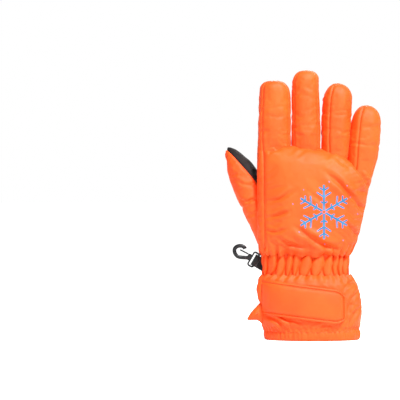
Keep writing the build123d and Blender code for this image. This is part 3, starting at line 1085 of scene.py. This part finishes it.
def varied(tree, factor, low, high, start=0.3, end=0.7):
    """Colour that goes from low to high with a texture."""
    ramp = tree.nodes.new("ShaderNodeValToRGB")
    ramp.color_ramp.elements[0].position = start
    ramp.color_ramp.elements[1].position = end
    ramp.color_ramp.elements[0].color = (*low, 1)
    ramp.color_ramp.elements[1].color = (*high, 1)
    tree.links.new(factor, ramp.inputs["Fac"])
    return ramp.outputs["Color"]


def ranged(tree, factor, low, high):
    """A number that goes from low to high with a texture."""
    spread = tree.nodes.new("ShaderNodeMapRange")
    spread.inputs["To Min"].default_value = low
    spread.inputs["To Max"].default_value = high
    tree.links.new(factor, spread.inputs["Value"])
    return spread.outputs["Result"]


def tinted(colour, *factors):
    return tuple(min(c * f, 1.0) for c, f in zip(colour, factors))


def times(tree, first, second):
    """Two colours multiplied."""
    mix = tree.nodes.new("ShaderNodeMix")
    mix.data_type = "RGBA"
    mix.blend_type = "MULTIPLY"
    mix.inputs["Factor"].default_value = 1.0
    tree.links.new(first, mix.inputs["A"])
    tree.links.new(second, mix.inputs["B"])
    return mix.outputs["Result"]


def woven(tree, coords, size):
    """Height of a plain weave whose threads are size metres apart."""
    across = texture(tree, "Wave", coords, Scale=0.5 / size, Distortion=0.6, Detail=1.0)
    up = texture(tree, "Wave", coords, Scale=0.5 / size, Distortion=0.6, Detail=1.0)
    across.bands_direction, up.bands_direction = "X", "Z"
    mix = tree.nodes.new("ShaderNodeMath")
    mix.operation = "MULTIPLY"
    tree.links.new(across.outputs["Fac"], mix.inputs[0])
    tree.links.new(up.outputs["Fac"], mix.inputs[1])
    return mix.outputs["Value"]


NYLON_THREAD = 0.00045       # metres between the threads of the nylon


def orange_nylon(name="orange_nylon", colour=(0.98, 0.083, 0.006), sheen=0.16):
    """Soft coated nylon: plain weave and gentle sheen, a little faded and soiled in patches."""
    material, shader = new_material(name, colour, 0.5)
    tree = material.node_tree
    coords = tree.nodes.new("ShaderNodeTexCoord")
    blotches = texture(tree, "Noise", coords, Scale=38.0, Detail=4.0)
    deep, pale = tinted(colour, 0.97, 0.84, 0.7), tinted(colour, 1.04, 1.14, 1.25)
    fade = varied(tree, blotches.outputs["Fac"], deep, pale)
    soil = texture(tree, "Noise", coords, Scale=16.0, Detail=7.0, Roughness=0.7)
    worn = varied(tree, soil.outputs["Fac"], (0.93, 0.88, 0.86), (1.0, 1.0, 1.0), 0.32, 0.48)
    tree.links.new(times(tree, fade, worn), shader.inputs["Base Color"])
    tree.links.new(ranged(tree, soil.outputs["Fac"], 0.42, 0.62), shader.inputs["Roughness"])
    shader.inputs["Sheen Weight"].default_value = sheen
    shader.inputs["Sheen Roughness"].default_value = 0.35
    shader.inputs["Sheen Tint"].default_value = (1.0, 0.5, 0.24, 1)
    shader.inputs["Specular IOR Level"].default_value = 0.28
    crumple = texture(tree, "Noise", coords, Scale=210.0, Detail=4.0, Distortion=0.5)
    weave = woven(tree, coords, NYLON_THREAD)
    bumps(tree, shader, [(crumple.outputs["Fac"], 0.30, 0.0009), (weave, 0.35, 0.00012)])
    return material


def dark_cloth(name, colour, roughness, weave, grain, sheen=0.2, ribs=None):
    """Dark fabric: weave, a coarser grain, colour that drifts, and ribs along one axis if given."""
    material, shader = new_material(name, colour, roughness)
    tree = material.node_tree
    coords = tree.nodes.new("ShaderNodeTexCoord")
    drift = texture(tree, "Noise", coords, Scale=60.0, Detail=5.0)
    worn = varied(tree, drift.outputs["Fac"], tinted(colour, 0.7, 0.7, 0.7), tinted(colour, 1.5, 1.42, 1.4))
    tree.links.new(worn, shader.inputs["Base Color"])
    shader.inputs["Sheen Weight"].default_value = sheen
    shader.inputs["Sheen Roughness"].default_value = 0.4
    shader.inputs["Specular IOR Level"].default_value = 0.18
    pile = texture(tree, "Noise", coords, Scale=grain, Detail=3.0)
    layers = [(pile.outputs["Fac"], 0.5, 0.0005), (woven(tree, coords, weave), 0.45, 0.00015)]
    if ribs:
        wave = texture(tree, "Wave", coords, Scale=0.5 / ribs[1], Distortion=0.3)
        wave.bands_direction = ribs[0]
        layers.insert(0, (wave.outputs["Fac"], 0.6, 0.0003))
    bumps(tree, shader, layers)
    return material


def moulded_plastic():
    """Satin moulded plastic with fine scuffs."""
    material, shader = new_material("black_plastic", (0.008, 0.008, 0.009), 0.35)
    tree = material.node_tree
    coords = tree.nodes.new("ShaderNodeTexCoord")
    scuffs = texture(tree, "Noise", coords, Scale=420.0, Detail=6.0, Roughness=0.75)
    tone = varied(tree, scuffs.outputs["Fac"], (0.006, 0.006, 0.007), (0.018, 0.018, 0.020), 0.4, 0.75)
    tree.links.new(tone, shader.inputs["Base Color"])
    tree.links.new(ranged(tree, scuffs.outputs["Fac"], 0.22, 0.5), shader.inputs["Roughness"])
    shader.inputs["Specular IOR Level"].default_value = 0.3
    bumps(tree, shader, [(scuffs.outputs["Fac"], 0.15, 0.0001)])
    return material


def printed_ink():
    """Blue ink on nylon, worn a little thin in places."""
    material, shader = new_material("blue_ink", (0.010, 0.15, 0.31), 0.5)
    tree = material.node_tree
    coords = tree.nodes.new("ShaderNodeTexCoord")
    thin = texture(tree, "Noise", coords, Scale=300.0, Detail=5.0)
    tone = varied(tree, thin.outputs["Fac"], (0.008, 0.14, 0.30), (0.030, 0.18, 0.33), 0.45, 0.7)
    tree.links.new(tone, shader.inputs["Base Color"])
    bumps(tree, shader, [(woven(tree, coords, NYLON_THREAD), 0.35, 0.00012)])
    return material


def finish_piece(piece, material, body=None):
    piece.data.materials.clear()
    piece.data.materials.append(material)
    if body:
        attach(piece, body)
    return piece


def dress(names, material):
    for name in names:
        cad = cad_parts[name]
        cad.data.materials.clear()
        cad.data.materials.append(material)


# ---------------- build ----------------
make_camera()
make_lights()
make_world()
make_floor()
bpy.context.scene.view_settings.view_transform = "Standard"
ORANGE = orange_nylon()
THREAD = orange_nylon("orange_thread", (0.72, 0.060, 0.008), 0.4)
GRIP = dark_cloth("black_grip", (0.011, 0.0085, 0.0085), 0.7, 0.0006, 900.0, 0.06)
FLEECE = dark_cloth("fleece", (0.022, 0.022, 0.025), 0.95, 0.0012, 700.0, 0.7)
HOOKS = dark_cloth("hook_and_loop", (0.012, 0.012, 0.012), 0.8, 0.0007, 1500.0, 0.1)
WEBBING = dark_cloth("webbing", (0.009, 0.009, 0.010), 0.6, 0.0005, 1100.0, 0.2, ("X", 0.0010))
PLASTIC = moulded_plastic()


def bend_with(piece, pivot, along):
    """Bakes the piece's placement into its points; the piece is not bent here. The pivot and along
    arguments are worked out but not used.
    """
    pivot, along = np.array(pivot), np.array(along) / np.linalg.norm(along)
    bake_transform(piece)


THUMB_JOINT = (-51.6, 8.7, 122.3)
THUMB_LEAN = (-24.0, 8.5, 73.5)

for name in FINGERS:
    skin = finger_skin(name)
    points = read(skin)
    pinned = (finger_seam_distance(points, name) < 0.9) | (points[:, 2] < KNUCKLES[name][1])
    puff_up(skin, pinned, slack=0.018, pressure=1.6)
    subdivide(skin)
    push(skin, finger_detail(read(skin), name))
    finish_piece(skin, ORANGE)
    x, z = KNUCKLES[name]
    bend_with(skin, (x, 0, z), (0, 0, 1))
    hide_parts(f"{name}_back_panel", f"{name}_side_strip", f"{name}_palm_panel", f"{name}_lining")

hand = hand_skin()
points = read(hand)
x, y, z = points.T
seam, _ = line_distance(x, z, BACK_SEAM)
pinned = ((seam < 1.2) & (y < 0)) | (z < 80) | (np.abs(y) < 3) | (np.abs(patch_field(points)) < 1.0)
puff_up(hand, pinned, slack=0.03, pressure=2.0)
subdivide(hand)
push(hand, hand_detail(read(hand)))
patch = cut_along(hand, patch_field(read(hand)), "grip_patch")
finish_piece(hand, ORANGE, "hand")
finish_piece(patch, GRIP, "hand")
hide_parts("hand_back_panel", "palm_upper_panel", "index_edge_panel", "little_edge_panel",
            "knuckle_web", "thumb_base_panel")
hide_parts("palm_patch")

thumb = thumb_skin()
points = read(thumb)
along = (points - THUMB_ROOT) @ thumb_axes()[0]
pinned = (np.abs(thumb_field(points)) < 1.2) | (along < 20)
puff_up(thumb, pinned, slack=0.025, pressure=2.0)
subdivide(thumb)
push(thumb, thumb_detail(read(thumb)))
inner = cut_along(thumb, thumb_field(read(thumb)), "thumb_inner")
for piece, material, slot_name in ((thumb, ORANGE, "orange_nylon"), (inner, GRIP, "black_grip")):
    finish_piece(piece, material)
    bend_with(piece, THUMB_JOINT, THUMB_LEAN)
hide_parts("thumb_outer_panel", "thumb_lining")
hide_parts("thumb_inner_panel")

cuff = cuff_skin()
x, y, z = read(cuff).T
strap_low, strap_high = strap_edges(x)
tape_sewn_on = (y < 0) & (x > STRAP_LEFT) & (x < STRAP_RIGHT + 2) & (z > strap_low) & (z < strap_high)
pinned = (z > 48) | (z < 11) | (np.abs(y) < 2) | tape_sewn_on
puff_up(cuff, pinned, slack=0.04, pressure=1.2)
subdivide(cuff)
push(cuff, cuff_detail(read(cuff)))
finish_piece(cuff, ORANGE, "cuff")
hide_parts("cuff_back_panel", "cuff_palm_panel")

gathers = wrist_skin()
finish_piece(gathers, ORANGE)
bend_with(gathers, WRIST_JOINT, (0, 0, 1))
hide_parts("wrist_band", "wrist_elastic")

hem = hem_skin()
finish_piece(hem, ORANGE, "cuff")
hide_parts("hem_band")
hem_tree = surface_tree(hem, cuff)
for side, side_name in ((-1, "back"), (1, "palm")):
    hem_line = [(x, 7.4 + 0.2 * sin(x / 5)) for x in np.linspace(-35, 35, 30)]
    hem_thread = stitches_on(f"hem_thread_{side_name}", hem_tree, hem_line, side)
    finish_piece(hem_thread, THREAD, "cuff")

lining = lining_skin()
finish_piece(lining, FLEECE)
bend_with(lining, WRIST_JOINT, (0, 0, 1))
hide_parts("cuff_lining", "hand_lining")

PLEAT_EDGE = [(-38, 33), (-44, 31.5), (-49, 27), (-54, 20.5), (-54.5, 17), (-47, 16.5), (-40, 14)]
BULGE_EDGE = [(-38, 54), (-44, 52.5), (-47.0, 46), (-46.4, 38), (-44.5, 33), (-38, 31)]
gusset = pillow("gusset_pleat", PLEAT_EDGE, -6, 4.0, seed=3)
bulge = pillow("gusset_bulge", BULGE_EDGE, -7, 5.0, seed=6)
for piece in (gusset, bulge):
    finish_piece(piece, ORANGE, "cuff")
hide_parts("gusset_fold")

strap = strap_skin()
finish_piece(strap, ORANGE, "strap")
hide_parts("strap")
strap_thread = stitches_on("strap_thread", surface_tree(strap), strap_stitch_line(), -1)
finish_piece(strap_thread, THREAD, "strap")

hook_tape = tape_skin("hook_tape", (2, 22), (28, 46), 0.9)
finish_piece(hook_tape, HOOKS, "strap")
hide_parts("strap_hook_tape")
loop_tape = tape_skin("loop_tape", (-24, 26), (28, 46), 0.2)
finish_piece(loop_tape, HOOKS, "cuff")
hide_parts("cuff_loop_tape")

patch_tree = surface_tree(patch)
for number, path in enumerate(PATCH_SEAMS):
    for shift, row_name in ((-1.6, "low"), (1.6, "high")):
        shifted = [(x, z + shift) for x, z in path]
        thread = stitches_on(f"patch_thread_{number}_{row_name}", patch_tree, shifted, 1)
        finish_piece(thread, GRIP, "hand")

ink = print_skin(surface_tree(hand))
finish_piece(ink, printed_ink(), body="hand")

dress(["webbing_tab"], WEBBING)
dress(["snap_hook", "hook_gate"], PLASTIC)
